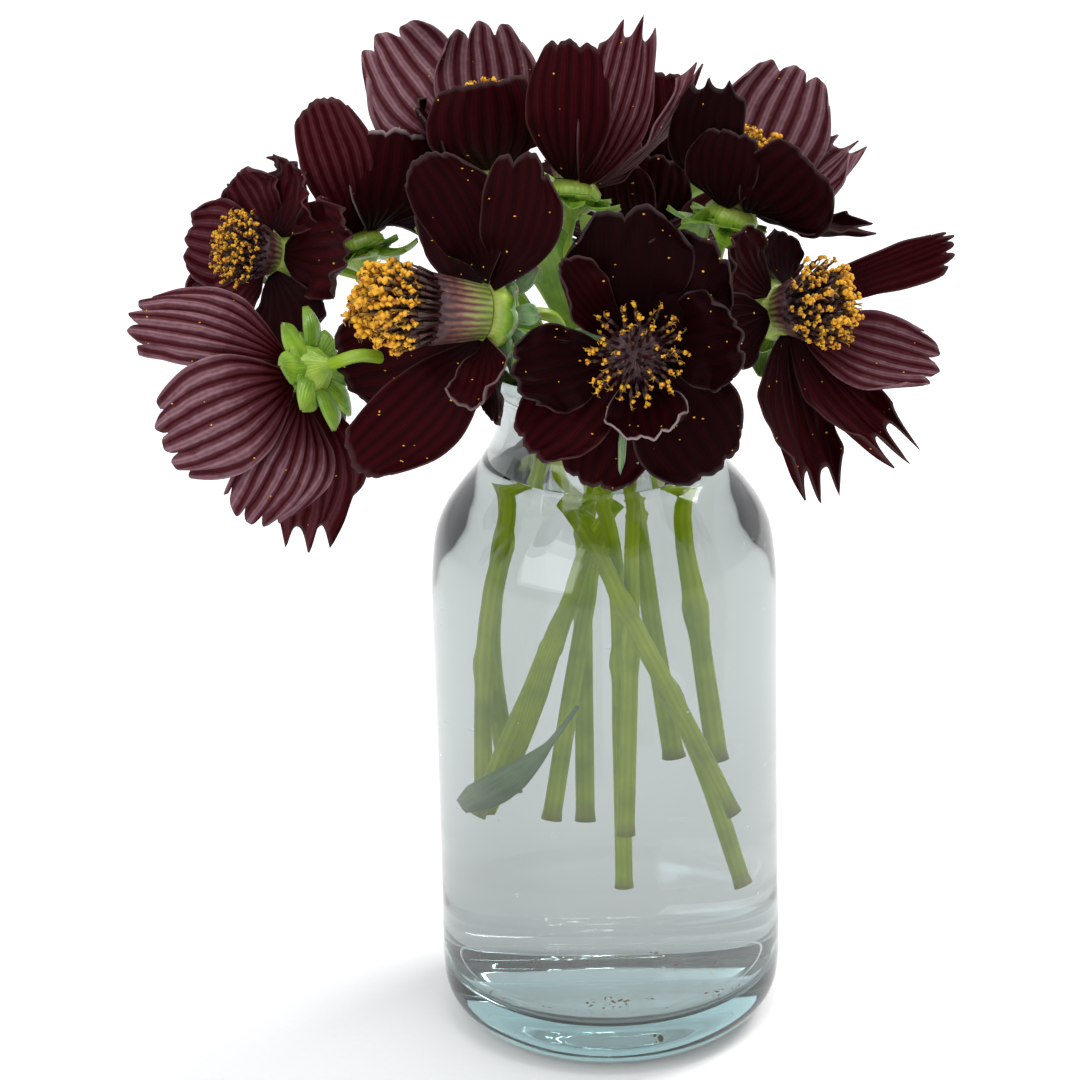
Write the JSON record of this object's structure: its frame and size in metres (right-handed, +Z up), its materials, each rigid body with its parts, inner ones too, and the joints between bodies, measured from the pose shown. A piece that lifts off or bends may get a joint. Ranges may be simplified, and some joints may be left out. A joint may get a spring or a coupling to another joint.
{
  "type": "cut flowers in bottle",
  "caption": "Small bunch of dark maroon cosmos flowers on short green stems, standing in a wide-necked clear glass bottle filled with water.",
  "frame": {"origin": "centre of the bottle's flat base, on the surface it stands on", "axes": "+Z up along the bottle's axis, +X to the right seen from the front flower's side, -Y towards the viewer the front flower faces"},
  "size_m": [0.1464, 0.1235, 0.1957],
  "materials": {
    "glass": "smooth clear glass with a faint blue-green tint, deepest in the thick foot",
    "water": null,
    "petal": "velvety near-black maroon, mauve and veined where light grazes it",
    "disc": "dark brown florets tipped with orange-yellow pollen",
    "calyx": "soft green flesh flushed purple",
    "stem": "smooth yellow-green stem, slightly glossy"
  },
  "bodies": {
    "root": {"back_calyx": "calyx", "back_centre_calyx": "calyx", "back_centre_disc": "disc", "back_centre_petals": "petal", "back_centre_stem": "stem", "back_disc": "disc", "back_petals": "petal", "back_stem": "stem", "bottle": "glass", "far_left_calyx": "calyx", "far_left_disc": "disc", "far_left_petals": "petal", "far_left_stem": "stem", "front_calyx": "calyx", "front_disc": "disc", "front_petals": "petal", "front_stem": "stem", "left_front_calyx": "calyx", "left_front_disc": "disc", "left_front_petals": "petal", "left_front_stem": "stem", "left_top_calyx": "calyx", "left_top_disc": "disc", "left_top_petals": "petal", "left_top_stem": "stem", "lower_left_calyx": "calyx", "lower_left_disc": "disc", "lower_left_petals": "petal", "lower_left_stem": "stem", "right_front_calyx": "calyx", "right_front_disc": "disc", "right_front_petals": "petal", "right_front_stem": "stem", "top_calyx": "calyx", "top_disc": "disc", "top_petals": "petal", "top_stem": "stem", "upper_left_calyx": "calyx", "upper_left_disc": "disc", "upper_left_petals": "petal", "upper_left_stem": "stem", "upper_right_calyx": "calyx", "upper_right_disc": "disc", "upper_right_petals": "petal", "upper_right_stem": "stem", "water": "water"}
  },
  "joints": []
}
